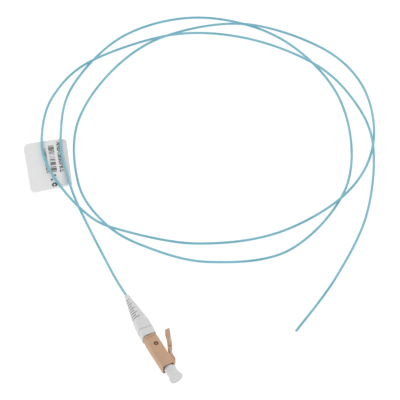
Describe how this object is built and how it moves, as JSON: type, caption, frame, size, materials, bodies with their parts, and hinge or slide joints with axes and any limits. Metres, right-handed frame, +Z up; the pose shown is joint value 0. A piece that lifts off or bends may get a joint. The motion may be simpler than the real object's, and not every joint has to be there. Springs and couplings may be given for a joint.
{
  "type": "fibre optic pigtail",
  "caption": "Coiled tight-buffered optical fibre with a small latched plug, slotted strain relief and pull-off dust cap on one end and a bare cut end on the other.",
  "frame": {"origin": "on the floor under the middle of the plug's bounding box, the plug lying on its side", "axes": "+X along the plug's axis towards the dust cap, +Y towards the latch, +Z up"},
  "size_m": [0.1504, 0.1307, 0.0053],
  "materials": {
    "beige_plastic": "fine moulded satin",
    "white_rubber": "soft matt white",
    "white_plastic": "satin white",
    "zirconia": "polished",
    "nickel": "plated",
    "aqua_buffer": "smooth satin",
    "label_film": "coated, slightly glossy"
  },
  "bodies": {
    "pigtail": {"connector_housing": "beige_plastic", "rear_body": "beige_plastic", "strain_relief_boot": "white_rubber", "ferrule": "zirconia", "ferrule_holder": "nickel", "fibre_cord": "aqua_buffer", "label": "label_film"},
    "cap": {"dust_cap": "white_plastic"}
  },
  "joints": [
    {"name": "cap_slide", "type": "slide", "parent": "pigtail", "child": "cap", "axis": [1, 0, 0], "range_m": [0, 0.015]}
  ]
}
